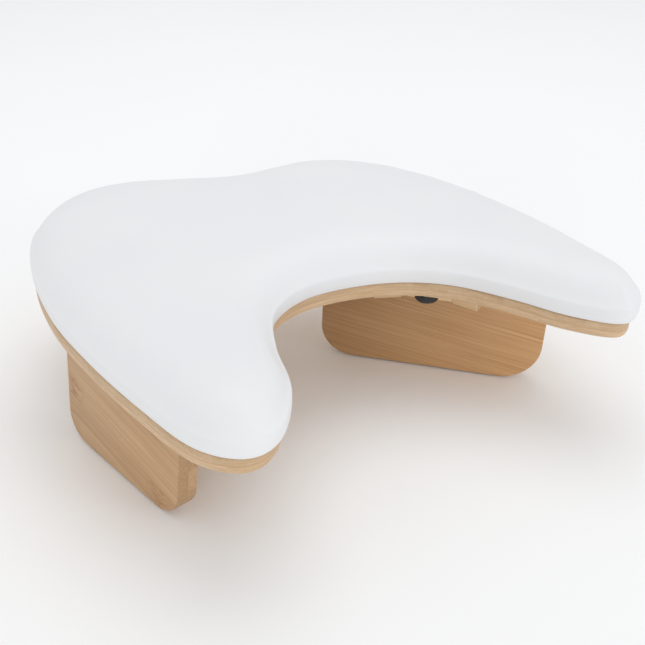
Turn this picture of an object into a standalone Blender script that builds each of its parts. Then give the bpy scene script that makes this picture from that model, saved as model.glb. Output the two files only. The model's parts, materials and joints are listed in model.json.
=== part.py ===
"""Manicure arm rest: a padded whale-tail top on a bamboo board, on two swivelling bamboo legs.

Metres, +Z up, +Y towards the wide back, origin on the floor under the middle of the top.
"""

from math import cos, pi, radians, sin

import bmesh
import bpy
from mathutils import Matrix, Vector

NAME = "manicure_arm_rest"
GAP = 0.0003                   # between pieces that touch

UNDERSIDE = 0.101              # height of the board's lower face
BOARD_THICK = 0.014
BACKING_THICK = 0.004
CUSHION_HEIGHT = 0.035
COVER_THICK = 0.0012
COVER_OVERHANG = 0.0025        # the cushion stands this far outside the board
PANEL_THICK = 0.018
FOOT_THICK = 0.0012
FOOT_WIDTH = 0.009
SEAT = UNDERSIDE + BOARD_THICK + GAP     # where the cushion sits on the board
SPAN_STEPS = 4                 # straight steps between two outline points

# Control points of the board's edge, counter-clockwise from the right front tip.
BOARD_EDGE = [
    (0.202, -0.159), (0.212, -0.104), (0.215, -0.037), (0.209, 0.037), (0.193, 0.101),
    (0.163, 0.155), (0.119, 0.186), (0.077, 0.192), (0.038, 0.196), (-0.007, 0.219),
    (-0.058, 0.242), (-0.109, 0.240), (-0.153, 0.207), (-0.180, 0.147), (-0.194, 0.073),
    (-0.195, -0.000), (-0.190, -0.069), (-0.181, -0.128), (-0.159, -0.157), (-0.132, -0.153),
    (-0.104, -0.120), (-0.086, -0.073), (-0.060, -0.030), (-0.022, -0.010), (0.018, -0.011),
    (0.064, -0.028), (0.100, -0.059), (0.125, -0.105), (0.145, -0.153), (0.172, -0.184),
]

# height above the seat and how far in from the edge: the cushion's soft shoulder
CUSHION_STEPS = [(0.0, 0.0), (0.014, 0.0), (0.024, 0.004), (0.031, 0.009), (CUSHION_HEIGHT, 0.016)]

CUSHION_SCREWS = [(-0.155, 0.110), (-0.065, 0.188), (0.045, 0.140), (0.150, 0.100),
                  (0.180, -0.108), (-0.148, -0.108)]

# pivot, direction of the leg's front end, side of the pivot that the panel stands on,
# flat bottom behind and in front of the pivot, corner radii and forward lean of the ends
LEGS = {
    "left": {"pivot": (-0.1356, 0.0132), "heading": -83.0, "side": -1,
             "back": 0.051, "front": 0.051, "back_r": 0.026, "front_r": 0.028, "lean": 0.17},
    "right": {"pivot": (0.1018, -0.0310), "heading": -50.0, "side": 1,
              "back": 0.073, "front": 0.065, "back_r": 0.030, "front_r": 0.036, "lean": 0.04},
}

PANEL_FACE = 0.027             # pivot to the panel's inner face
FLANGE_THICK = 0.002
FLANGE_HALF = 0.021            # half the bracket's length along the leg
FLANGE_REACH = 0.014           # flange past the pivot, away from the panel
BRACKET_DROP = 0.026
SLOT_RADIUS = 0.016            # stop slot, about the pivot
SLOT_HALF_ANGLE = radians(27)
DOWEL_R = 0.002
STUD_R = 0.0025
STUD_TOP = 0.0095              # above the underside
KNOB_R = 0.0115
KNOB_TOP = 0.0039              # below the underside
KNOB_BOTTOM = 0.0123
INSERT_R = 0.004
INSERT_TOP = 0.0105
SCREW_R = 0.0018
SCREW_HEAD_R = 0.0038
BRACE_DEPTH = 0.014
BRACE_PLAN = [(0.022, 0.0), (0.022, 0.026), (0.045, 0.035), (0.049, 0.022), (0.050, 0.0)]

COLOURS = {                    # colour, roughness, metallic
    "cover": ((0.86, 0.86, 0.87), 0.45, 0.0),
    "foam": ((0.82, 0.78, 0.62), 0.95, 0.0),
    "plywood": ((0.66, 0.50, 0.33), 0.7, 0.0),
    "bamboo": ((0.66, 0.46, 0.27), 0.5, 0.0),
    "brace_wood": ((0.76, 0.57, 0.37), 0.6, 0.0),
    "rubber": ((0.02, 0.02, 0.02), 0.85, 0.0),
    "knob_plastic": ((0.025, 0.025, 0.027), 0.45, 0.0),
    "steel": ((0.62, 0.62, 0.63), 0.35, 1.0),
    "brass": ((0.70, 0.52, 0.25), 0.35, 1.0),
}


def clear_scene():
    for thing in list(bpy.data.objects):
        bpy.data.objects.remove(thing, do_unlink=True)


def new_collection(name):
    collection = bpy.data.collections.new(name)
    bpy.context.scene.collection.children.link(collection)
    return collection


def material(kind, name):
    colour, roughness, metallic = COLOURS[kind]
    made = bpy.data.materials.new(name)
    made.use_nodes = True
    shader = made.node_tree.nodes["Principled BSDF"]
    shader.inputs["Base Color"].default_value = (*colour, 1.0)
    shader.inputs["Roughness"].default_value = roughness
    shader.inputs["Metallic"].default_value = metallic
    made.diffuse_color = (*colour, 1.0)
    return made


def smooth_loop(points, steps):
    """A closed smooth curve through the points (Catmull-Rom)."""
    loop = []
    count = len(points)
    for i in range(count):
        before, start = Vector(points[i - 1]), Vector(points[i])
        end, after = Vector(points[(i + 1) % count]), Vector(points[(i + 2) % count])
        for step in range(steps):
            t = step / steps
            loop.append(0.5 * (2 * start + (end - before) * t
                               + (2 * before - 5 * start + 4 * end - after) * t ** 2
                               + (3 * start - before - 3 * end + after) * t ** 3))
    return loop


def inset_loop(loop, distance):
    """The loop moved inwards by the distance; outwards where it is negative."""
    count = len(loop)
    moved = []
    for i, point in enumerate(loop):
        along = (loop[(i + 1) % count] - loop[i - 1]).normalized()
        moved.append(point + distance * Vector((-along.y, along.x)))
    return moved


def finish_mesh(name, mesh, kind, parent=None):
    thing = bpy.data.objects.new(name, mesh)
    mesh.materials.clear()
    mesh.materials.append(material(kind, name))
    parts.objects.link(thing)
    thing.parent = parent
    return thing


def flat_mesh(name, outline, thickness):
    """A flat outline in XY given a thickness, lying from z = 0 upwards."""
    curve = bpy.data.curves.new(name, "CURVE")
    curve.dimensions = "2D"
    curve.fill_mode = "BOTH"
    curve.extrude = thickness / 2
    spline = curve.splines.new("POLY")
    spline.points.add(len(outline) - 1)
    for point, (x, y) in zip(spline.points, outline):
        point.co = (x, y, 0, 1)
    spline.use_cyclic_u = True
    guide = bpy.data.objects.new(name + "_curve", curve)
    bpy.context.scene.collection.objects.link(guide)
    depsgraph = bpy.context.evaluated_depsgraph_get()
    mesh = bpy.data.meshes.new_from_object(guide.evaluated_get(depsgraph))
    bpy.data.objects.remove(guide, do_unlink=True)
    shape = bmesh.new()
    shape.from_mesh(mesh)
    bmesh.ops.remove_doubles(shape, verts=shape.verts, dist=1e-6)
    bmesh.ops.translate(shape, verts=shape.verts, vec=(0, 0, thickness / 2))
    bmesh.ops.recalc_face_normals(shape, faces=shape.faces)
    shape.to_mesh(mesh)
    shape.free()
    return mesh


def round_edges(thing, width, segments=2, angle=50):
    bevel = thing.modifiers.new("round_edges", "BEVEL")
    bevel.width = width
    bevel.segments = segments
    bevel.limit_method = "ANGLE"
    bevel.angle_limit = radians(angle)


def profile_mesh(name, profile):
    """A turned shape's half section in XZ, from (radius, height) points, outer side downwards."""
    mesh = bpy.data.meshes.new(name)
    count = len(profile)
    ends_on_axis = profile[0][0] == 0
    edges = [(i, (i + 1) % count) for i in range(count - 1 if ends_on_axis else count)]
    mesh.from_pydata([(radius, 0, height) for radius, height in profile], edges, [])
    return mesh


def turn(thing, sides):
    screw = thing.modifiers.new("turned", "SCREW")
    screw.axis = "Z"
    screw.steps = sides
    screw.render_steps = sides
    screw.use_merge_vertices = True
    screw.merge_threshold = 1e-5
    screw.use_smooth_shade = False


def turned_piece(name, profile, kind, parent=None, place=None, sides=24):
    thing = finish_mesh(name, profile_mesh(name, profile), kind, parent)
    thing.matrix_local = place or Matrix()
    turn(thing, sides)
    return thing


def cut(piece, mesh, place, parent=None, sides=0):
    """Cut a shape out of a piece; a turned shape gives its number of sides."""
    number = len(cutters.objects)
    cutter = bpy.data.objects.new(f"cutter_{number}", mesh)
    cutters.objects.link(cutter)
    cutter.parent = parent
    cutter.matrix_local = place
    cutter.hide_render = True
    cutter.display_type = "WIRE"
    if sides:
        turn(cutter, sides)
    boolean = piece.modifiers.new(f"cut_{number}", "BOOLEAN")
    boolean.operation = "DIFFERENCE"
    boolean.solver = "EXACT"
    boolean.object = cutter


def rod_profile(radius, low, high):
    return [(0, high), (radius, high), (radius, low), (0, low)]


def tube_profile(outer, inner, low, high):
    return [(outer, high), (outer, low), (inner, low), (inner, high)]


def lofted_cushion(name, loop, steps, low, top_drop, closed):
    """Outline loops stacked as a soft-shouldered cushion with a flat top."""
    shape = bmesh.new()
    rings = []
    for height, inset in steps:
        level = max(low, SEAT + height - top_drop)
        rings.append([shape.verts.new((*point, level)) for point in inset_loop(loop, inset)])
    count = len(loop)
    for lower, upper in zip(rings, rings[1:]):
        for i in range(count):
            j = (i + 1) % count
            shape.faces.new((lower[i], lower[j], upper[j], upper[i]))
    shape.faces.new(rings[-1])
    if closed:
        shape.faces.new(list(reversed(rings[0])))
    mesh = bpy.data.meshes.new(name)
    shape.to_mesh(mesh)
    shape.free()
    return mesh


def middle_of(loop):
    """The middle of the box round an outline."""
    xs, ys = [point.x for point in loop], [point.y for point in loop]
    return Vector(((min(xs) + max(xs)) / 2, (min(ys) + max(ys)) / 2))


def screw_profile(length, gap=0.0):
    """A countersunk screw pointing up, its head's face at z = 0."""
    head, body = SCREW_HEAD_R + gap, SCREW_R + gap
    return [(0, length + gap), (body * 0.4, length + gap), (body, length - 0.002 + gap),
            (body, 0.0028 + gap), (head, 0.0006), (head, -gap * 4), (0, -gap * 4)]


def build_top(board_loop, cushion_loop, middle):
    board = finish_mesh("bamboo_board", flat_mesh("bamboo_board", board_loop, BOARD_THICK), "bamboo")
    board.location.z = UNDERSIDE
    round_edges(board, 0.003)

    backing_loop = inset_loop(cushion_loop, COVER_THICK + GAP)
    backing = finish_mesh("backing_board", flat_mesh("backing_board", backing_loop, BACKING_THICK),
                          "plywood")
    backing.location.z = SEAT

    foam_low = SEAT + BACKING_THICK + GAP
    foam_mesh = lofted_cushion("foam_core", inset_loop(cushion_loop, COVER_THICK + 2 * GAP),
                               CUSHION_STEPS, foam_low, COVER_THICK + GAP, True)
    finish_mesh("foam_core", foam_mesh, "foam")

    cover = finish_mesh("cushion_cover", lofted_cushion("cushion_cover", cushion_loop,
                                                        CUSHION_STEPS, SEAT, 0.0, False), "cover")
    wall = cover.modifiers.new("wall", "SOLIDIFY")
    wall.thickness = COVER_THICK
    wall.offset = -1
    cover.data.shade_smooth()

    length = BOARD_THICK + BACKING_THICK - 0.0015
    for number, spot in enumerate(CUSHION_SCREWS, 1):
        place = Matrix.Translation((*(Vector(spot) - middle), UNDERSIDE + 0.0004))
        turned_piece(f"cushion_screw_{number}", screw_profile(length), "steel", None, place, 12)
        for piece in (board, backing):
            cut(piece, profile_mesh("screw_hole", screw_profile(length, GAP)), place, None, 12)
    return board


def panel_outline(leg):
    """The panel's side view: flat bottom, round lower corners, both ends leaning forward."""
    low, high = FOOT_THICK + GAP, UNDERSIDE - GAP
    corners = 8
    outline = []
    for i in range(corners + 1):
        turn = pi / 2 * i / corners
        outline.append((leg["front"] + leg["front_r"] * sin(turn),
                        low + leg["front_r"] * (1 - cos(turn))))
    outline.append((leg["front"] + leg["front_r"], high))
    outline.append((-leg["back"] - leg["back_r"], high))
    for i in reversed(range(corners + 1)):
        turn = pi / 2 * i / corners
        outline.append((-leg["back"] - leg["back_r"] * sin(turn),
                        low + leg["back_r"] * (1 - cos(turn))))
    return [(along + leg["lean"] * height, height) for along, height in outline]


def arc(centre, radius, start, stop, steps=10):
    """Points on an arc, both ends included."""
    turns = [start + (stop - start) * i / steps for i in range(steps + 1)]
    return [(centre[0] + radius * cos(turn), centre[1] + radius * sin(turn)) for turn in turns]


def slot_outline(radius, half_width, half_angle):
    """A slot bent about the pivot, with round ends."""
    outline = arc((0, 0), radius + half_width, -half_angle, half_angle)
    end = (radius * cos(half_angle), radius * sin(half_angle))
    outline += arc(end, half_width, half_angle, half_angle + pi, 6)[1:-1]
    outline += arc((0, 0), radius - half_width, half_angle, -half_angle)
    end = (end[0], -end[1])
    outline += arc(end, half_width, pi - half_angle, 2 * pi - half_angle, 6)[1:-1]
    return outline


def build_leg(side, leg, board, middle):
    sign = leg["side"]
    pivot = bpy.data.objects.new(f"{side}_leg_pivot", None)
    bpy.context.scene.collection.objects.link(pivot)
    pivot.location = (*(Vector(leg["pivot"]) - middle), 0)
    pivot.rotation_euler.z = radians(leg["heading"])

    panel = finish_mesh(f"{side}_leg_panel",
                        flat_mesh("panel", panel_outline(leg), PANEL_THICK), "bamboo", pivot)
    back_face = PANEL_FACE + PANEL_THICK if sign > 0 else -PANEL_FACE
    panel.matrix_local = Matrix.Translation((0, back_face, 0)) @ Matrix.Rotation(pi / 2, 4, "X")
    round_edges(panel, 0.002)

    strip_half = FOOT_WIDTH / 2
    across = sign * (PANEL_FACE + PANEL_THICK / 2)
    lean = leg["lean"] * FOOT_THICK
    strip_outline = [(-leg["back"] + lean, across - strip_half), (leg["front"] + lean, across - strip_half),
                     (leg["front"] + lean, across + strip_half), (-leg["back"] + lean, across + strip_half)]
    finish_mesh(f"{side}_foot_strip", flat_mesh("strip", strip_outline, FOOT_THICK), "rubber", pivot)

    for end, direction in (("front", 1), ("back", -1)):
        plan = [(direction * along, sign * (PANEL_FACE - GAP - out)) for along, out in BRACE_PLAN]
        brace = finish_mesh(f"{side}_brace_{end}", flat_mesh("brace", plan, BRACE_DEPTH),
                            "brace_wood", pivot)
        brace.location.z = UNDERSIDE - GAP - BRACE_DEPTH
        round_edges(brace, 0.0008, 1)

    # the angle bracket's section in (n, z), run along the leg
    face, under = PANEL_FACE - GAP, UNDERSIDE - GAP
    section = [(-FLANGE_REACH, under), (face, under), (face, under - BRACKET_DROP),
               (face - FLANGE_THICK, under - BRACKET_DROP),
               (face - FLANGE_THICK, under - FLANGE_THICK), (-FLANGE_REACH, under - FLANGE_THICK)]
    section = [(sign * across, height) for across, height in section]
    bracket = finish_mesh(f"{side}_bracket", flat_mesh("bracket", section, 2 * FLANGE_HALF),
                          "steel", pivot)
    bracket.matrix_local = (Matrix.Translation((-FLANGE_HALF, 0, 0)) @ Matrix.Rotation(pi / 2, 4, "Z")
                            @ Matrix.Rotation(pi / 2, 4, "X"))
    hole = STUD_R + GAP
    cut(bracket, profile_mesh("pivot_hole", rod_profile(hole, under - 0.005, under + 0.005)),
        Matrix(), pivot, 24)
    slot = flat_mesh("slot", slot_outline(SLOT_RADIUS, DOWEL_R + GAP, SLOT_HALF_ANGLE), 0.008)
    cut(bracket, slot, Matrix.Translation((0, 0, UNDERSIDE - 0.006)), pivot)

    screw_length = 0.012
    for number, along in ((1, -0.012), (2, 0.012)):
        place = (Matrix.Translation((along, sign * (face - FLANGE_THICK - 0.0007), UNDERSIDE - 0.019))
                 @ Matrix.Rotation(-sign * pi / 2, 4, "X"))
        turned_piece(f"{side}_bracket_screw_{number}", screw_profile(screw_length), "steel", pivot,
                     place, 12)
        for piece in (bracket, panel):
            cut(piece, profile_mesh("screw_hole", screw_profile(screw_length, GAP)), place, pivot, 12)

    turned_piece(f"{side}_washer", tube_profile(0.006, STUD_R + GAP, UNDERSIDE - 0.0036,
                                                UNDERSIDE - 0.0026), "steel", pivot)
    knob_low, knob_high = UNDERSIDE - KNOB_BOTTOM, UNDERSIDE - KNOB_TOP
    socket = knob_low + 0.002
    knob_profile = [(0, socket), (hole, socket), (hole, knob_high), (KNOB_R - 0.0015, knob_high),
                    (KNOB_R, knob_high - 0.0012), (KNOB_R, knob_low + 0.0025),
                    (KNOB_R - 0.0025, knob_low), (0, knob_low)]
    turned_piece(f"{side}_knob", knob_profile, "knob_plastic", pivot, None, 32)
    turned_piece(f"{side}_stud", rod_profile(STUD_R, socket + GAP, UNDERSIDE + STUD_TOP),
                 "steel", pivot)
    insert_low, insert_top = UNDERSIDE + 0.0005, UNDERSIDE + INSERT_TOP
    turned_piece(f"{side}_insert", tube_profile(INSERT_R, hole, insert_low, insert_top),
                 "brass", pivot)
    insert_hole = rod_profile(INSERT_R + GAP, UNDERSIDE - 0.002, insert_top + GAP)
    cut(board, profile_mesh("insert_hole", insert_hole), Matrix(), pivot, 24)
    dowel_place = Matrix.Translation((SLOT_RADIUS, 0, 0))
    dowel_top = UNDERSIDE + 0.008
    turned_piece(f"{side}_stop_dowel", rod_profile(DOWEL_R, UNDERSIDE - 0.0022, dowel_top),
                 "steel", pivot, dowel_place, 16)
    dowel_hole = rod_profile(DOWEL_R + GAP, UNDERSIDE - 0.004, dowel_top + GAP)
    cut(board, profile_mesh("dowel_hole", dowel_hole), dowel_place, pivot, 16)


clear_scene()
parts = new_collection(NAME)
cutters = new_collection("cutters")
cutters.hide_render = True

edge = smooth_loop(BOARD_EDGE, SPAN_STEPS)
middle_point = middle_of(inset_loop(edge, -COVER_OVERHANG))
edge = [point - middle_point for point in edge]
board_piece = build_top(edge, inset_loop(edge, -COVER_OVERHANG), middle_point)
for leg_side, leg_sizes in LEGS.items():
    build_leg(leg_side, leg_sizes, board_piece, middle_point)
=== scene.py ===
import json
from math import cos, exp, pi, radians, sin

import bmesh
import bpy
from mathutils import Euler, Matrix, Vector
from mathutils.geometry import delaunay_2d_cdt


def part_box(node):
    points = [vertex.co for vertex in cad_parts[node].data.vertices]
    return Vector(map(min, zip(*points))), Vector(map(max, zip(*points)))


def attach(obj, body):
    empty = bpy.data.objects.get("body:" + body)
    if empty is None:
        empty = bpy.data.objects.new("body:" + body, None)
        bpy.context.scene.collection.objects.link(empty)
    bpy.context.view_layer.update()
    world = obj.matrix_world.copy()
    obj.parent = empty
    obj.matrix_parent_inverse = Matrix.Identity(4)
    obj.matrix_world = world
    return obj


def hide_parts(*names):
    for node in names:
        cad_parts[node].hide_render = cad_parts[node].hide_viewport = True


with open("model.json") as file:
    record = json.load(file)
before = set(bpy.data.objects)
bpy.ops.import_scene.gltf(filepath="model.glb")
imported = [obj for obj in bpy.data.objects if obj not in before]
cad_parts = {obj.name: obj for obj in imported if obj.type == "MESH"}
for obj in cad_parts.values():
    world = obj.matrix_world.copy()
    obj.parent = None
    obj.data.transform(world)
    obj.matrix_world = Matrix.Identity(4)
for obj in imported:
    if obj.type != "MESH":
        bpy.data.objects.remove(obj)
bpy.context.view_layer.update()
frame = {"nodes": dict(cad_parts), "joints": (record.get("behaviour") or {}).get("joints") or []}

nodes = frame["nodes"]
pivots = {joint["child"]: Vector(joint["pos_m"]) for joint in frame["joints"]}
print("frame loaded:", len(nodes), "nodes")

# camera, light and floor

view = {
    "eye": (-0.4153, -0.6282, 0.5185),
    "turn": -35.0,        # degrees, 0 looks along +Y
    "tilt": 31.0,         # degrees below the horizon
    "lens": 55.8,
}
sky = {"colour": (0.97, 0.985, 1.0, 1), "strength": 0.80}
lamps = {
    "overhead": {"place": (0.3, 0.4, 2.0), "target": (0, 0, 0.1), "size": 1.8, "power": 9,
                 "colour": (1.0, 0.995, 0.985)},
    "front_left": {"place": (-2.6, -2.4, 0.8), "target": (0, 0, 0.06), "size": 1.2, "power": 14,
                   "colour": (1, 1, 1)},
    "front_right": {"place": (1.7, -3.0, 0.9), "target": (0, 0, 0.08), "size": 1.4, "power": 14,
                    "colour": (1, 1, 1)},
}


def addCamera():
    data = bpy.data.cameras.new("camera")
    data.lens = view["lens"]
    data.sensor_width = 36
    data.clip_start = 0.02
    camera = bpy.data.objects.new("camera", data)
    camera.location = view["eye"]
    camera.rotation_euler = (radians(90 - view["tilt"]), 0, radians(view["turn"]))
    bpy.context.scene.collection.objects.link(camera)
    bpy.context.scene.camera = camera


def addArea(name, place, target, size, power, colour):
    data = bpy.data.lights.new(name, "AREA")
    data.shape = "DISK"
    data.size = size
    data.energy = power
    data.color = colour
    lamp = bpy.data.objects.new(name, data)
    lamp.location = place
    lamp.rotation_euler = (Vector(target) - Vector(place)).to_track_quat("-Z", "Y").to_euler()
    bpy.context.scene.collection.objects.link(lamp)


def addStudio():
    world = bpy.data.worlds.new("studio")
    bpy.context.scene.world = world
    world.use_nodes = True
    background = world.node_tree.nodes["Background"]
    background.inputs["Color"].default_value = sky["colour"]
    background.inputs["Strength"].default_value = sky["strength"]
    for name, lamp in lamps.items():
        addArea(name, **lamp)
    bpy.context.scene.view_settings.view_transform = "Standard"     # keeps the whites white
    bpy.ops.mesh.primitive_plane_add(size=14)
    floor = bpy.context.object
    floor.name = "floor"
    floor.data.materials.append(finishes["floor"])


# finishes

# one finish being put together, node by node
class Recipe:

    def __init__(self, name):
        self.material = bpy.data.materials.new(name)
        self.material.use_nodes = True
        self.tree = self.material.node_tree
        self.shader = self.tree.nodes["Principled BSDF"]

    def add(self, kind, **settings):
        made = self.tree.nodes.new(kind)
        for key, value in settings.items():
            setattr(made, key, value)
        return made

    def join(self, source, target):
        self.tree.links.new(source, target)

    def sums(self, operation, first, second=None, third=None):
        made = self.add("ShaderNodeMath", operation=operation)
        for socket, value in zip(made.inputs, (first, second, third)):
            if isinstance(value, bpy.types.NodeSocket):
                self.join(value, socket)
            elif value is not None:
                socket.default_value = value
        return made.outputs[0]

    # object coordinates, moved to an origin and turned into a piece's own directions
    def place(self, origin=(0, 0, 0), turn=(0, 0, 0)):
        coordinates = self.add("ShaderNodeTexCoord")
        mapping = self.add("ShaderNodeMapping", vector_type="TEXTURE")
        mapping.inputs["Location"].default_value = origin
        mapping.inputs["Rotation"].default_value = turn
        self.join(coordinates.outputs["Object"], mapping.inputs["Vector"])
        return mapping.outputs["Vector"]

    def stretched(self, vector, scale):
        mapping = self.add("ShaderNodeMapping")
        mapping.inputs["Scale"].default_value = scale
        self.join(vector, mapping.inputs["Vector"])
        return mapping.outputs["Vector"]

    def noise(self, vector, scale, detail=4.0, roughness=0.55, distortion=0.0):
        made = self.add("ShaderNodeTexNoise")
        made.inputs["Scale"].default_value = scale
        made.inputs["Detail"].default_value = detail
        made.inputs["Roughness"].default_value = roughness
        made.inputs["Distortion"].default_value = distortion
        self.join(vector, made.inputs["Vector"])
        return made.outputs["Fac"]

    def ramp(self, factor, *stops):
        made = self.add("ShaderNodeValToRGB")
        while len(made.color_ramp.elements) < len(stops):
            made.color_ramp.elements.new(0.5)
        for element, (position, colour) in zip(made.color_ramp.elements, stops):
            element.position = position
            element.color = (*colour, 1) if len(colour) == 3 else colour
        self.join(factor, made.inputs["Fac"])
        return made.outputs["Color"]

    def range(self, factor, low, high, fromLow=0.0, fromHigh=1.0):
        made = self.add("ShaderNodeMapRange")
        self.join(factor, made.inputs["Value"])
        made.inputs["From Min"].default_value = fromLow
        made.inputs["From Max"].default_value = fromHigh
        made.inputs["To Min"].default_value = low
        made.inputs["To Max"].default_value = high
        return made.outputs["Result"]

    def blend(self, factor, first, second, mode="MIX"):
        made = self.add("ShaderNodeMix", data_type="RGBA", blend_type=mode)
        if isinstance(factor, bpy.types.NodeSocket):
            self.join(factor, made.inputs["Factor"])
        else:
            made.inputs["Factor"].default_value = factor
        for socket, value in zip((made.inputs["A"], made.inputs["B"]), (first, second)):
            if isinstance(value, bpy.types.NodeSocket):
                self.join(value, socket)
            else:
                socket.default_value = (*value, 1)
        return made.outputs["Result"]

    def bump(self, height, strength, distance):
        made = self.add("ShaderNodeBump")
        made.inputs["Strength"].default_value = strength
        made.inputs["Distance"].default_value = distance
        self.join(height, made.inputs["Height"])
        self.join(made.outputs["Normal"], self.shader.inputs["Normal"])

    def set(self, **values):
        for key, value in values.items():
            socket = self.shader.inputs[key.replace("_", " ")]
            if isinstance(value, bpy.types.NodeSocket):
                self.join(value, socket)
            else:
                socket.default_value = (*value, 1) if isinstance(value, tuple) else value


bamboo = {
    "strip": 0.021,           # width of one strip
    "plyOffset": 0.37,        # so that the plies' strips don't line up
    "stripOffset": 0.9,       # how far along each strip's grain may start
    "fibreShare": 0.30,
    "streakShare": 0.52,
    "driftShare": 0.16,
    "knuckleSpacing": 0.185,
    "knuckleBand": 0.040,
    "seamShare": 0.012,       # of a strip's width
    "glueHalf": 0.00028,
    "endsFrom": 0.45,         # how squarely a face must cut the fibres to count as an end
    "endsTo": 0.85,
    "halfLength": 0.09,       # the back-to-front painted shade runs over this either side of the pivot
}


# laminated bamboo: strips with their own tone, fine fibres, knuckle marks, two plies
def bambooFinish(name, origin, turn, plyMiddle, look):
    recipe = Recipe(name)
    spot = recipe.place(origin, turn)                # x along the fibres
    parts = recipe.add("ShaderNodeSeparateXYZ")
    recipe.join(spot, parts.inputs[0])
    along, across = parts.outputs["X"], parts.outputs["Y"]
    ply = parts.outputs["Z"]
    light, dark = look["light"], look["dark"]
    plySide = recipe.sums("GREATER_THAN", ply, plyMiddle)

    shifted = recipe.sums("ADD", across, look["seed"])
    layered = recipe.sums("MULTIPLY_ADD", plySide, bamboo["plyOffset"], shifted)
    stripWidth = bamboo["strip"]
    strip = recipe.sums("FLOOR", recipe.sums("DIVIDE", layered, stripWidth))
    stripNoise = recipe.add("ShaderNodeTexWhiteNoise", noise_dimensions="1D")
    recipe.join(strip, stripNoise.inputs["W"])
    stripTone = stripNoise.outputs["Value"]

    # each strip takes its grain from another place
    own = recipe.add("ShaderNodeCombineXYZ")
    start = recipe.sums("MULTIPLY_ADD", stripTone, bamboo["stripOffset"], along)
    recipe.join(start, own.inputs["X"])
    recipe.join(layered, own.inputs["Y"])
    recipe.join(parts.outputs["Z"], own.inputs["Z"])
    fibres = recipe.noise(recipe.stretched(own.outputs[0], look["fibreScale"]), 1.0, 3.0, 0.65)
    streaks = recipe.noise(recipe.stretched(own.outputs[0], look["streakScale"]), 1.0, 4.0, 0.65)
    drift = recipe.noise(recipe.stretched(own.outputs[0], (5, 26, 26)), 1.0, 2.0)

    tone = recipe.sums("MULTIPLY", fibres, bamboo["fibreShare"])
    tone = recipe.sums("MULTIPLY_ADD", streaks, bamboo["streakShare"], tone)
    tone = recipe.sums("MULTIPLY_ADD", drift, bamboo["driftShare"], tone)
    tone = recipe.sums("MULTIPLY_ADD", stripTone, look["stripTone"], tone)
    middle = tuple(0.5 * (a + b) for a, b in zip(light, dark))
    colour = recipe.ramp(tone, (0.40, dark), (0.53, middle), (0.66, light))

    # knuckle marks: short dark dashes in a narrow band across a strip
    spacing, bandWidth = bamboo["knuckleSpacing"], bamboo["knuckleBand"]
    phase = recipe.sums("FRACT", recipe.sums("DIVIDE", recipe.sums(
        "MULTIPLY_ADD", stripTone, 1.7, along), spacing))
    offMiddle = recipe.sums("ABSOLUTE", recipe.sums("SUBTRACT", phase, 0.5))
    band = recipe.range(offMiddle, 1.0, 0.0, 0.02, bandWidth / spacing * 0.5)
    dashes = recipe.noise(recipe.stretched(own.outputs[0], (130, 900, 500)), 1.0, 2.0, 0.6, 0.6)
    dashMask = recipe.range(dashes, 0.0, 1.0, 0.47, 0.60)
    knuckle = recipe.sums("MULTIPLY", recipe.sums("MULTIPLY", band, dashMask), look["knuckles"])
    knuckleColour = (0.80 * dark[0], 0.62 * dark[1], 0.50 * dark[2])
    colour = recipe.blend(knuckle, colour, knuckleColour)
    # thin seam between strips, and the glue line between plies
    seam = recipe.sums("FRACT", recipe.sums("DIVIDE", layered, stripWidth))
    seamLine = recipe.sums("LESS_THAN", recipe.sums("ABSOLUTE", recipe.sums(
        "SUBTRACT", seam, 0.5)), bamboo["seamShare"])
    glueLine = recipe.sums("LESS_THAN", recipe.sums("ABSOLUTE", recipe.sums(
        "SUBTRACT", ply, plyMiddle)), bamboo["glueHalf"])
    lines = recipe.sums("MAXIMUM", recipe.sums("MULTIPLY", seamLine, look["seams"]),
                        recipe.sums("MULTIPLY", glueLine, look["glue"]))
    colour = recipe.blend(lines, colour, knuckleColour)
    plyTint = recipe.blend(plySide, (1.0, 0.97, 0.95), (0.92, 0.89, 0.855))
    colour = recipe.blend(1.0, colour, plyTint, "MULTIPLY")
    # cut ends are duller than the faces, and painted shade darkens the wood towards its back end,
    # standing in for the shadow under the board
    normal = recipe.add("ShaderNodeTexCoord").outputs["Normal"]
    facing = recipe.add("ShaderNodeVectorMath", operation="DOT_PRODUCT")
    facing.inputs[1].default_value = Euler(turn).to_matrix() @ Vector((1, 0, 0))
    recipe.join(normal, facing.inputs[0])
    cutEnd = recipe.range(recipe.sums("ABSOLUTE", facing.outputs["Value"]), 1.0, look["endShade"],
                          bamboo["endsFrom"], bamboo["endsTo"])
    # painted shade: darker towards the back end of the piece
    paintedBackShade = recipe.range(along, look["paintedShadeBack"], look["paintedShadeFront"],
                              -bamboo["halfLength"], bamboo["halfLength"])
    shade = recipe.sums("MULTIPLY", cutEnd, paintedBackShade)
    colour = recipe.blend(1.0, colour, recipe.ramp(shade, (0.0, (0, 0, 0)), (1.0, (1, 1, 1))),
                          "MULTIPLY")
    recipe.set(Base_Color=colour, Roughness=recipe.range(streaks, 0.42, 0.60),
               Specular_IOR_Level=0.4, Coat_Weight=0.12, Coat_Roughness=0.35)
    relief = recipe.sums("SUBTRACT", fibres, recipe.sums("MULTIPLY", lines, 1.5))
    recipe.bump(relief, 0.10, 0.0005)
    return recipe.material


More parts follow.
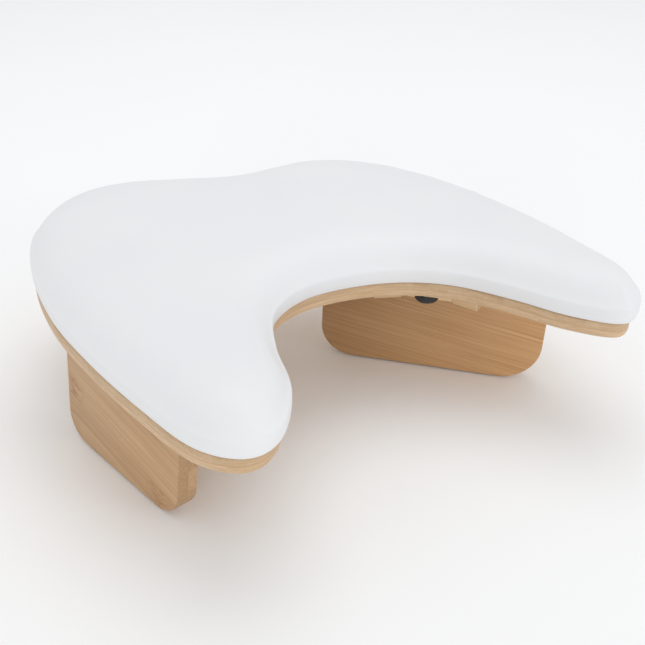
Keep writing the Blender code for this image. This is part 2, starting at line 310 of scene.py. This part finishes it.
# smooth white coated leather: a very fine pebble, a faint cloudiness, satin
def leatherFinish():
    recipe = Recipe("white_leather")
    spot = recipe.place()
    cells = recipe.add("ShaderNodeTexVoronoi", feature="SMOOTH_F1")
    cells.inputs["Scale"].default_value = 950
    recipe.join(spot, cells.inputs["Vector"])
    pores = recipe.noise(spot, 2400, 2.0)
    clouds = recipe.noise(spot, 9, 3.0)
    colour = recipe.ramp(clouds, (0.3, (0.785, 0.790, 0.803)), (0.7, (0.808, 0.811, 0.819)))
    rough = recipe.range(recipe.noise(spot, 60, 3.0), 0.44, 0.54)
    recipe.set(Base_Color=colour, Roughness=rough, Specular_IOR_Level=0.42,
               Sheen_Weight=0.06, Sheen_Roughness=0.5)
    height = recipe.sums("MULTIPLY_ADD", pores, 0.35, cells.outputs["Distance"])
    recipe.bump(height, 0.10, 0.0003)
    return recipe.material


# a finish whose tone, gloss and relief drift with one noise
def plainFinish(name, low, high, roughLow, roughHigh, scale, metal=0.0, bumpStrength=0.1,
                stretch=(1, 1, 1)):
    recipe = Recipe(name)
    spot = recipe.stretched(recipe.place(), stretch)
    drift = recipe.noise(spot, scale, roughness=0.6)
    fine = recipe.noise(spot, scale * 9, 2.0)
    recipe.set(Base_Color=recipe.ramp(drift, (0.3, low), (0.7, high)),
               Roughness=recipe.range(drift, roughLow, roughHigh), Metallic=metal)
    recipe.bump(fine, bumpStrength, 0.0003)
    return recipe.material


finishes = {
    "floor": plainFinish("pale_floor", (0.95, 0.95, 0.95), (0.96, 0.96, 0.96), 0.85, 0.95, 3,
                         bumpStrength=0.02),
    "leather": leatherFinish(),
    "rubber": plainFinish("black_rubber", (0.014, 0.014, 0.015), (0.028, 0.028, 0.029),
                          0.72, 0.88, 120, bumpStrength=0.25),
    "knob": plainFinish("black_moulded_plastic", (0.012, 0.013, 0.014), (0.022, 0.023, 0.025),
                        0.36, 0.48, 90, bumpStrength=0.12),
    "zinc": plainFinish("zinc_plated_steel", (0.52, 0.53, 0.55), (0.68, 0.68, 0.68),
                        0.26, 0.42, 160, 1.0, 0.08),
    "yellowZinc": plainFinish("yellow_zinc_steel", (0.66, 0.47, 0.28), (0.76, 0.57, 0.36),
                              0.42, 0.56, 160, 1.0, 0.08),
    "brass": plainFinish("machined_brass", (0.66, 0.48, 0.22), (0.80, 0.60, 0.30),
                         0.24, 0.38, 150, 1.0, 0.08),
    "foam": plainFinish("filling_foam", (0.78, 0.73, 0.55), (0.88, 0.84, 0.68), 0.9, 1.0, 900,
                        bumpStrength=0.6),
    "plywood": plainFinish("backing_plywood", (0.52, 0.37, 0.22), (0.70, 0.54, 0.35),
                           0.6, 0.75, 30, bumpStrength=0.2, stretch=(0.15, 4, 12)),
    "brace": plainFinish("pale_brace_wood", (0.60, 0.405, 0.225), (0.72, 0.52, 0.31),
                         0.5, 0.62, 40, bumpStrength=0.15, stretch=(1, 1, 6)),
}
print("finishes made")

# outlines and meshes

board = {
    "underside": 0.101,
    "thick": 0.014,
    "edgeRound": 0.0034,
    "plyJoint": 0.0072,      # glue line's height above the underside
    "steps": 8,              # straight steps between two edge points
    "sink": {"neck": 0.0021, "head": 0.0041, "depth": 0.0028, "length": 0.0155},
    "clearance": 0.0003,     # round the inserts and stop dowels
    # the edge, counter-clockwise from the right front tip
    "edge": [
        (0.204, -0.159), (0.212, -0.104), (0.215, -0.037), (0.209, 0.037), (0.193, 0.101),
        (0.163, 0.155), (0.120, 0.186), (0.077, 0.192), (0.038, 0.196), (-0.007, 0.219),
        (-0.058, 0.242), (-0.109, 0.240), (-0.153, 0.207), (-0.180, 0.147), (-0.194, 0.073),
        (-0.195, 0.000), (-0.190, -0.069), (-0.181, -0.128), (-0.159, -0.157), (-0.132, -0.153),
        (-0.104, -0.120), (-0.086, -0.073), (-0.060, -0.030), (-0.022, -0.010), (0.018, -0.011),
        (0.064, -0.028), (0.100, -0.059), (0.125, -0.105), (0.145, -0.153), (0.172, -0.184),
    ],
}


def smoothLoop(points, steps):
    loop, count = [], len(points)
    for i in range(count):
        before, start = Vector(points[i - 1]), Vector(points[i])
        end, after = Vector(points[(i + 1) % count]), Vector(points[(i + 2) % count])
        for step in range(steps):
            t = step / steps
            loop.append(0.5 * (2 * start + (end - before) * t
                               + (2 * before - 5 * start + 4 * end - after) * t ** 2
                               + (3 * start - before - 3 * end + after) * t ** 3))
    return loop


# the loop moved inwards; its directions are taken over a few steps either way
def insetLoop(loop, distance, reach=2):
    count = len(loop)
    moved = []
    for i, point in enumerate(loop):
        direction = (loop[(i + reach) % count] - loop[i - reach]).normalized()
        moved.append(point + distance * Vector((-direction.y, direction.x)))
    return moved


def centredEdge():
    raw = smoothLoop(board["edge"], 4)
    wide = insetLoop(raw, -cushion["overhang"], 1)
    middle = Vector(((min(p.x for p in wide) + max(p.x for p in wide)) / 2,
                     (min(p.y for p in wide) + max(p.y for p in wide)) / 2))
    return [Vector(point) - middle for point in board["edge"]]


def inside(point, loop):
    odd = False
    for first, second in zip(loop, loop[1:] + loop[:1]):
        if (first.y > point.y) != (second.y > point.y):
            crossing = first.x + (point.y - first.y) * (second.x - first.x) / (second.y - first.y)
            odd ^= crossing > point.x
    return odd


def asPiece(name, shape, finish, smoothAngle=40):
    mesh = bpy.data.meshes.new(name)
    shape.to_mesh(mesh)
    shape.free()
    piece = bpy.data.objects.new(name, mesh)
    bpy.context.scene.collection.objects.link(piece)
    mesh.materials.append(finish)
    mesh.shade_smooth()
    if smoothAngle:
        mesh.set_sharp_from_angle(angle=radians(smoothAngle))
    return piece


def applyModifiers(piece):
    depsgraph = bpy.context.evaluated_depsgraph_get()
    mesh = bpy.data.meshes.new_from_object(piece.evaluated_get(depsgraph))
    piece.modifiers.clear()
    old = piece.data
    piece.data = mesh
    bpy.data.meshes.remove(old)


# a flat outline with a thickness, from z = 0 upwards
def slabShape(outline, thickness):
    shape = bmesh.new()
    face = shape.faces.new([shape.verts.new((x, y, 0)) for x, y in outline])
    grown = bmesh.ops.extrude_face_region(shape, geom=[face])
    upper = [item for item in grown["geom"] if isinstance(item, bmesh.types.BMVert)]
    bmesh.ops.translate(shape, verts=upper, vec=(0, 0, thickness))
    bmesh.ops.recalc_face_normals(shape, faces=shape.faces)
    return shape


def roundEdges(piece, width, segments, angle=40):
    bevel = piece.modifiers.new("rounded", "BEVEL")
    bevel.width = width
    bevel.segments = segments
    bevel.limit_method = "ANGLE"
    bevel.angle_limit = radians(angle)
    applyModifiers(piece)
    piece.data.shade_smooth()
    piece.data.set_sharp_from_angle(angle=radians(50))


# turns (radius, height) points about Z; the outer side runs downwards
def turnedShape(profile, sides):
    shape = bmesh.new()
    points = [shape.verts.new((radius, 0, height)) for radius, height in profile]
    edges = [shape.edges.new(pair) for pair in zip(points, points[1:])]
    bmesh.ops.spin(shape, geom=points + edges, cent=(0, 0, 0), axis=(0, 0, 1), angle=2 * pi,
                   steps=sides, use_duplicate=False)
    bmesh.ops.remove_doubles(shape, verts=shape.verts, dist=1e-6)
    bmesh.ops.recalc_face_normals(shape, faces=shape.faces)
    return shape


# cushion

cushion = {
    "seat": 0.1153,          # where it meets the board
    "overhang": 0.0025,      # outside the board's edge
    "shift": (0.0020, -0.0014),     # screwed on a little off the board's middle
    "rise": 0.0068,          # from the last section point up to the flat of the top
    "riseOver": 0.0130,
    "crown": 0.0024,         # how far the filling lifts the middle
    "grid": 0.006,
    # height above the seat and distance in from the edge, from the flat underside up
    "section": [
        (0.0000, 0.0060), (0.0000, 0.0018), (0.0006, 0.0007), (0.0018, 0.0000), (0.0050, -0.0008),
        (0.0090, -0.0012), (0.0124, -0.0011), (0.0138, -0.0006), (0.0148, 0.0005), (0.0162, 0.0018),
        (0.0183, 0.0034), (0.0209, 0.0052), (0.0236, 0.0074), (0.0263, 0.0100), (0.0288, 0.0130),
        (0.0309, 0.0163),
    ],
}
# the cloth run: heights above the seat, stiffness of the coated cover
filling = {"heldBelow": 0.0150, "freeAbove": 0.016, "fullAbove": 0.033, "frames": 20,
           "quality": 4, "mass": 0.15, "stretch": 18, "bend": 0.6, "pressure": 4.0}
edgeLoop = smoothLoop(centredEdge(), board["steps"])


# side wall and shoulder as stacked loops, the top as an even net, the underside flat
def cushionShape():
    shape = bmesh.new()
    outer = [point + Vector(cushion["shift"]) for point in insetLoop(edgeLoop, -cushion["overhang"])]
    count = len(outer)
    rings = []
    for height, distance in cushion["section"]:
        loop = insetLoop(outer, distance, 3)
        rings.append([shape.verts.new((*point, cushion["seat"] + height)) for point in loop])
    for lower, upper in zip(rings, rings[1:]):
        for i in range(count):
            j = (i + 1) % count
            shape.faces.new((lower[i], lower[j], upper[j], upper[i]))
    base = [Vector((vert.co.x, vert.co.y)) for vert in rings[0]]
    flat = delaunay_2d_cdt(base, [], [list(range(count))], 1, 1e-7)
    lowVerts = [shape.verts.new((*point, cushion["seat"])) for point in flat[0]]
    for face in flat[2]:
        shape.faces.new([lowVerts[i] for i in reversed(face)])

    rim = [Vector((vert.co.x, vert.co.y)) for vert in rings[-1]]
    net, far = list(rim), [0.0] * count          # far: how far in from the rim
    step, clear = cushion["grid"], cushion["grid"] * 0.75
    xs, ys = [point.x for point in rim], [point.y for point in rim]
    columns, rows = int((max(xs) - min(xs)) / step), int((max(ys) - min(ys)) / step)
    for row in range(rows + 1):
        for column in range(columns + 1):
            point = Vector((min(xs) + (column + 0.5 * (row % 2)) * step, min(ys) + row * step))
            nearest = min((point - near).length for near in rim)
            if inside(point, rim) and nearest > clear:
                net.append(point)
                far.append(nearest)
    found = delaunay_2d_cdt(net, [], [list(range(count))], 1, 1e-7)
    level = cushion["seat"] + cushion["section"][-1][0]
    heights = [level + cushion["rise"] * (1 - exp(-distance / cushion["riseOver"])) for distance in far]
    verts = [shape.verts.new((*point, heights[origins[0]]))
             for point, origins in zip(found[0], found[3])]
    for face in found[2]:
        shape.faces.new([verts[i] for i in face])
    bmesh.ops.remove_doubles(shape, verts=shape.verts, dist=2e-5)
    bmesh.ops.recalc_face_normals(shape, faces=shape.faces)
    return shape


# the filling presses the cover up: a short cloth run, scaled to the crown
def fillCushion(piece):
    cloth = piece.modifiers.new("filling", "CLOTH")
    group = piece.vertex_groups.new(name="held")
    low = cushion["seat"] + filling["heldBelow"]
    held = [vert.index for vert in piece.data.vertices if vert.co.z < low]
    group.add(held, 1.0, "REPLACE")
    cloth.settings.vertex_group_mass = "held"
    cloth.settings.quality = filling["quality"]
    cloth.settings.mass = filling["mass"]
    cloth.settings.tension_stiffness = filling["stretch"]
    cloth.settings.compression_stiffness = filling["stretch"]
    cloth.settings.bending_stiffness = filling["bend"]
    cloth.settings.use_pressure = True
    cloth.settings.uniform_pressure_force = filling["pressure"]
    cloth.settings.effector_weights.gravity = 0
    cloth.collision_settings.use_collision = False
    cloth.point_cache.frame_start = 1
    cloth.point_cache.frame_end = filling["frames"]
    start = [vert.co.copy() for vert in piece.data.vertices]
    for number in range(1, filling["frames"] + 1):
        bpy.context.scene.frame_set(number)
    depsgraph = bpy.context.evaluated_depsgraph_get()
    blown = piece.evaluated_get(depsgraph).to_mesh()
    free = cushion["seat"] + filling["freeAbove"]
    full = cushion["seat"] + filling["fullAbove"]
    lifts = []
    for vert, place in zip(blown.vertices, start):
        hold = min(1.0, max(0.0, (place.z - free) / (full - free)))
        lifts.append(max(0.0, vert.co.z - place.z) * hold)
    highest = max(lifts)
    share = cushion["crown"] / highest if highest > 0 else 0
    print("cloth rose", round(highest * 1000, 1), "mm, scaled by", round(share, 3))
    piece.modifiers.clear()
    for vert, place, lift in zip(piece.data.vertices, start, lifts):
        vert.co = place + Vector((0, 0, lift * share))
    bpy.context.scene.frame_set(1)


def makeCushion():
    piece = asPiece("cushion", cushionShape(), finishes["leather"], 0)
    fillCushion(piece)
    finer = piece.modifiers.new("finer", "SUBSURF")
    finer.levels = 1
    finer.render_levels = 1
    applyModifiers(piece)
    piece.data.shade_smooth()
    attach(piece, "top")
    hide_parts("cushion_cover", "foam_core", "backing_board")
    return piece


makeCushion()
print("cushion made")

# board


def cutOut(piece, shape, place):
    mesh = bpy.data.meshes.new("hole")
    shape.to_mesh(mesh)
    shape.free()
    cutter = bpy.data.objects.new("hole", mesh)
    cutter.matrix_world = place
    bpy.context.scene.collection.objects.link(cutter)
    boolean = piece.modifiers.new("hole", "BOOLEAN")
    boolean.operation = "DIFFERENCE"
    boolean.object = cutter
    applyModifiers(piece)
    bpy.data.objects.remove(cutter)


def boreShape(radius, low, high):
    return turnedShape([(0, high), (radius, high), (radius, low), (0, low)], 32)


def sinkShape():
    sink = board["sink"]
    return turnedShape([(0, sink["length"]), (sink["neck"], sink["length"]),
                        (sink["neck"], sink["depth"]), (sink["head"], 0.0004),
                        (sink["head"], -0.002), (0, -0.002)], 32)


boardLook = {"light": (0.73, 0.54, 0.35), "dark": (0.55, 0.375, 0.215), "seed": 0.013,
             "stripTone": 0.04, "knuckles": 0.15, "seams": 0.05, "glue": 0.42,
             "fibreScale": (14, 300, 900), "streakScale": (6, 50, 620),
             "endShade": 0.97, "paintedShadeBack": 1.0, "paintedShadeFront": 1.0}


def makeBoard():
    piece = asPiece("bamboo_top_board", slabShape(edgeLoop, board["thick"]),
                    bambooFinish("bamboo_board", (0, 0, board["underside"]), (0, 0, 0), board["plyJoint"],
                                 boardLook))
    roundEdges(piece, board["edgeRound"], 5, 50)
    piece.data.transform(Matrix.Translation((0, 0, board["underside"])))
    for name in sorted(nodes):
        low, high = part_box(name)
        spot = Vector(((low[0] + high[0]) / 2, (low[1] + high[1]) / 2, board["underside"]))
        if name.startswith("cushion_screw"):
            cutOut(piece, sinkShape(), Matrix.Translation(spot))
        elif name.endswith("_insert") or name.endswith("_stop_dowel"):
            radius = (high[0] - low[0]) / 2 + board["clearance"]
            depth = high[2] - board["underside"] + board["clearance"]
            cutOut(piece, boreShape(radius, -0.002, depth), Matrix.Translation(spot))
    piece.data.shade_smooth()
    piece.data.set_sharp_from_angle(angle=radians(50))
    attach(piece, "top")
    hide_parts("bamboo_board")


makeBoard()
print("board made")

# screws that hold the cushion, seen from below
screw = {"head": 0.0037, "neck": 0.0019, "headDepth": 0.0026, "slotLong": 0.0040,
         "slotWide": 0.0009, "slotDeep": 0.0018}


# geometry nodes: a countersunk head with a cross recess and its shank, on every given point
def screwTree():
    tree = bpy.data.node_groups.new("countersunk_screws", "GeometryNodeTree")
    tree.interface.new_socket("Points", in_out="INPUT", socket_type="NodeSocketGeometry")
    for name in ("Head", "Neck", "Head depth", "Shank length"):
        tree.interface.new_socket(name, in_out="INPUT", socket_type="NodeSocketFloat")
    for name in ("Slot one", "Slot two"):
        tree.interface.new_socket(name, in_out="INPUT", socket_type="NodeSocketVector")
    tree.interface.new_socket("Finish", in_out="INPUT", socket_type="NodeSocketMaterial")
    tree.interface.new_socket("Geometry", in_out="OUTPUT", socket_type="NodeSocketGeometry")
    given = tree.nodes.new("NodeGroupInput").outputs
    join = tree.links.new

    def add(kind, **links):
        made = tree.nodes.new(kind)
        for key, source in links.items():
            join(source, made.inputs[key.replace("_", " ")])
        return made

    head = add("GeometryNodeMeshCone", Radius_Top=given["Neck"], Radius_Bottom=given["Head"],
               Depth=given["Head depth"])
    head.inputs["Vertices"].default_value = 28
    recess = tree.nodes.new("GeometryNodeMeshBoolean")
    recess.operation = "DIFFERENCE"
    recess.solver = "EXACT"
    join(head.outputs["Mesh"], recess.inputs[0])
    for slot in ("Slot two", "Slot one"):
        join(add("GeometryNodeMeshCube", Size=given[slot]).outputs["Mesh"], recess.inputs[1])
    shank = add("GeometryNodeMeshCylinder", Radius=given["Neck"], Depth=given["Shank length"])
    shank.inputs["Vertices"].default_value = 20
    up = add("ShaderNodeCombineXYZ")
    reach = add("ShaderNodeMath")
    half = add("ShaderNodeMath")
    half.operation = "MULTIPLY"
    half.inputs[1].default_value = 0.5
    join(given["Shank length"], half.inputs[0])
    join(half.outputs[0], reach.inputs[0])
    join(given["Head depth"], reach.inputs[1])
    join(reach.outputs[0], up.inputs["Z"])
    moved = add("GeometryNodeTransform", Geometry=shank.outputs["Mesh"], Translation=up.outputs[0])
    both = tree.nodes.new("GeometryNodeJoinGeometry")
    join(recess.outputs["Mesh"], both.inputs[0])
    join(moved.outputs["Geometry"], both.inputs[0])
    spread = add("GeometryNodeInstanceOnPoints", Points=given["Points"],
                 Instance=both.outputs["Geometry"])
    real = add("GeometryNodeRealizeInstances", Geometry=spread.outputs["Instances"])
    dress = add("GeometryNodeSetMaterial", Geometry=real.outputs["Geometry"],
                Material=given["Finish"])
    result = tree.nodes.new("NodeGroupOutput")
    join(dress.outputs["Geometry"], result.inputs["Geometry"])
    return tree


def makeScrews():
    names = sorted(name for name in nodes if name.startswith("cushion_screw"))
    boxes = [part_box(name) for name in names]
    mesh = bpy.data.meshes.new("cushion_screws")
    mesh.from_pydata([((low[0] + high[0]) / 2, (low[1] + high[1]) / 2, low[2]) for low, high in boxes],
                     [], [])
    piece = bpy.data.objects.new("cushion_screws", mesh)
    bpy.context.scene.collection.objects.link(piece)
    tree = screwTree()
    modifier = piece.modifiers.new("screws", "NODES")
    modifier.node_group = tree
    long, wide, deep = screw["slotLong"], screw["slotWide"], 2 * screw["slotDeep"]
    length = boxes[0][1][2] - boxes[0][0][2] - screw["headDepth"]
    settings = {"Head": screw["head"], "Neck": screw["neck"], "Head depth": screw["headDepth"],
                "Shank length": length, "Slot one": (long, wide, deep), "Slot two": (wide, long, deep),
                "Finish": finishes["zinc"]}
    for item in tree.interface.items_tree:
        if item.name in settings:
            modifier[item.identifier] = settings[item.name]
    applyModifiers(piece)
    piece.data.shade_smooth()
    piece.data.set_sharp_from_angle(angle=radians(35))
    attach(piece, "top")
    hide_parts(*names)


makeScrews()
print("screws made")

# legs

# paintedShadeBack and paintedShadeFront set painted shade along each panel; the right leg's back end is
# darkened most, for the shadow under the board
legs = {
    "left": {"heading": -83.0, "side": -1, "back": 0.051, "front": 0.051,
             "backRound": 0.026, "frontRound": 0.028, "lean": 0.17, "fibreTilt": 11.0,
             "light": (0.68, 0.46, 0.26), "dark": (0.46, 0.27, 0.13), "seed": 0.31,
             "stripTone": 0.07, "knuckles": 0.9, "seams": 0.10, "glue": 0.3,
             "fibreScale": (14, 1300, 900), "streakScale": (6, 760, 520),
             "endShade": 0.84, "paintedShadeBack": 0.95, "paintedShadeFront": 1.0},
    "right": {"heading": -50.0, "side": 1, "back": 0.073, "front": 0.065,
              "backRound": 0.030, "frontRound": 0.036, "lean": 0.04, "fibreTilt": 10.0,
              "light": (0.78, 0.50, 0.26), "dark": (0.54, 0.295, 0.125), "seed": 0.52,
              "stripTone": 0.03, "knuckles": 0.12, "seams": 0.04, "glue": 0.3,
              "fibreScale": (14, 1300, 900), "streakScale": (6, 800, 560),
              "endShade": 0.88, "paintedShadeBack": 0.70, "paintedShadeFront": 1.0},
}
panel = {"face": 0.027, "thick": 0.018, "edgeRound": 0.0012, "cornerSteps": 16}


def panelOutline(leg, low, high):
    steps = panel["cornerSteps"]
    outline = []
    for i in range(steps + 1):
        turn = pi / 2 * i / steps
        outline.append((leg["front"] + leg["frontRound"] * sin(turn),
                        low + leg["frontRound"] * (1 - cos(turn))))
    outline.append((leg["front"] + leg["frontRound"], high))
    outline.append((-leg["back"] - leg["backRound"], high))
    for i in reversed(range(steps + 1)):
        turn = pi / 2 * i / steps
        outline.append((-leg["back"] - leg["backRound"] * sin(turn),
                        low + leg["backRound"] * (1 - cos(turn))))
    return [(along + leg["lean"] * height, height) for along, height in outline]


def legFrame(side):
    leg = legs[side]
    pivot = pivots[side + "_leg"]
    return (Matrix.Translation((pivot.x, pivot.y, 0))
            @ Matrix.Rotation(radians(leg["heading"]), 4, "Z"))


def makePanel(side):
    leg = legs[side]
    low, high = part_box(side + "_leg_panel")
    pivot = pivots[side + "_leg"]
    place = legFrame(side)
    farFace = panel["face"] + panel["thick"] if leg["side"] > 0 else -panel["face"]
    stand = place @ Matrix.Translation((0, farFace, 0)) @ Matrix.Rotation(pi / 2, 4, "X")
    # the fibres run level, then turn in the panel's own plane, front end down
    turn = (Matrix.Rotation(radians(leg["heading"]), 3, "Z") @ Matrix.Rotation(pi / 2, 3, "X")
            @ Matrix.Rotation(radians(-leg["fibreTilt"]), 3, "Z")).to_euler()
    finish = bambooFinish(f"bamboo_{side}_panel", (pivot.x, pivot.y, 0), turn,
                          -leg["side"] * (panel["face"] + panel["thick"] / 2), leg)
    shape = slabShape(panelOutline(leg, low[2], high[2]), panel["thick"])
    piece = asPiece(f"{side}_panel", shape, finish)
    roundEdges(piece, panel["edgeRound"], 4)
    piece.data.transform(stand)
    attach(piece, side + "_leg")
    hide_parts(side + "_leg_panel")


for side in legs:
    makePanel(side)
print("leg panels made")

# hand knobs

knob = {"radius": 0.0102, "sides": 64, "bore": 0.0028, "boreFloor": 0.002,
        "topRound": 0.0012, "round": 0.0022, "dishRim": 0.55, "dishEdge": 0.48, "dishDepth": 0.0006,
        "ribs": 24, "ribRadius": 0.0009, "ribInset": 0.0005, "ribShort": 0.0045, "ribLift": 0.0004}


# geometry nodes: upright ribs on a circle, as one plain mesh
def ribTree():
    tree = bpy.data.node_groups.new("grip_ribs", "GeometryNodeTree")
    for name, kind in (("Ribs", "NodeSocketInt"), ("Circle radius", "NodeSocketFloat"),
                       ("Rib radius", "NodeSocketFloat"), ("Rib height", "NodeSocketFloat"),
                       ("Finish", "NodeSocketMaterial")):
        tree.interface.new_socket(name, in_out="INPUT", socket_type=kind)
    tree.interface.new_socket("Geometry", in_out="OUTPUT", socket_type="NodeSocketGeometry")
    given = tree.nodes.new("NodeGroupInput")
    circle = tree.nodes.new("GeometryNodeMeshCircle")
    rib = tree.nodes.new("GeometryNodeMeshCylinder")
    rib.inputs["Vertices"].default_value = 10
    spread = tree.nodes.new("GeometryNodeInstanceOnPoints")
    real = tree.nodes.new("GeometryNodeRealizeInstances")
    dress = tree.nodes.new("GeometryNodeSetMaterial")
    result = tree.nodes.new("NodeGroupOutput")
    join = tree.links.new
    join(given.outputs["Ribs"], circle.inputs["Vertices"])
    join(given.outputs["Circle radius"], circle.inputs["Radius"])
    join(given.outputs["Rib radius"], rib.inputs["Radius"])
    join(given.outputs["Rib height"], rib.inputs["Depth"])
    join(circle.outputs["Mesh"], spread.inputs["Points"])
    join(rib.outputs["Mesh"], spread.inputs["Instance"])
    join(spread.outputs["Instances"], real.inputs["Geometry"])
    join(real.outputs["Geometry"], dress.inputs["Geometry"])
    join(given.outputs["Finish"], dress.inputs["Material"])
    join(dress.outputs["Geometry"], result.inputs["Geometry"])
    return tree


gripRibs = ribTree()


def makeKnob(side):
    low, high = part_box(side + "_knob")
    centre = pivots[side + "_knob"]
    radius, turnRound, topRound = knob["radius"], knob["round"], knob["topRound"]
    bottom, roof, bore = low[2], high[2], knob["bore"]
    floor = bottom + knob["boreFloor"]                # where the bore for the stud ends
    profile = [(0, floor), (bore, floor), (bore, roof), (radius - topRound, roof)]
    profile += [(radius - topRound + topRound * sin(pi / 2 * i / 4),
                 roof - topRound + topRound * cos(pi / 2 * i / 4)) for i in range(1, 5)]
    profile += [(radius - turnRound + turnRound * cos(pi / 2 * i / 6),
                 bottom + turnRound - turnRound * sin(pi / 2 * i / 6)) for i in range(7)]
    profile += [(radius * knob["dishRim"], bottom), (radius * knob["dishEdge"], bottom + 0.0005),
                (0, bottom + knob["dishDepth"])]      # shallow dish in the gripping face
    piece = asPiece(f"{side}_hand_knob", turnedShape(profile, knob["sides"]), finishes["knob"], 50)
    piece.data.transform(Matrix.Translation((centre.x, centre.y, 0)))
    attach(piece, side + "_knob")
    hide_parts(side + "_knob")

    ribs = bpy.data.objects.new(f"{side}_knob_ribs", bpy.data.meshes.new("ribs"))
    bpy.context.scene.collection.objects.link(ribs)
    modifier = ribs.modifiers.new("ribs", "NODES")
    modifier.node_group = gripRibs
    settings = {"Ribs": knob["ribs"], "Circle radius": radius - knob["ribInset"],
                "Rib radius": knob["ribRadius"], "Rib height": roof - bottom - knob["ribShort"],
                "Finish": finishes["knob"]}
    for item in gripRibs.interface.items_tree:
        if item.name in settings:
            modifier[item.identifier] = settings[item.name]
    applyModifiers(ribs)
    height = (bottom + roof) / 2 + knob["ribLift"]
    ribs.data.transform(Matrix.Translation((centre.x, centre.y, height)))
    ribs.data.shade_smooth()
    ribs.data.set_sharp_from_angle(angle=radians(50))
    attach(ribs, side + "_knob")


for side in legs:
    makeKnob(side)
print("knobs made")

# finishes of the carried-over parts

# the first word found in a part's name decides
nodeFinish = {"foot_strip": "rubber", "brace": "brace", "bracket_screw": "zinc",
              "bracket": "yellowZinc", "screw": "zinc", "washer": "zinc", "stud": "zinc",
              "dowel": "zinc", "insert": "brass", "foam_core": "foam", "backing_board": "plywood"}
for name, node in nodes.items():
    for word, finish in nodeFinish.items():
        if word in name:
            node.data.materials.clear()
            node.data.materials.append(finishes[finish])
            break

addCamera()
addStudio()
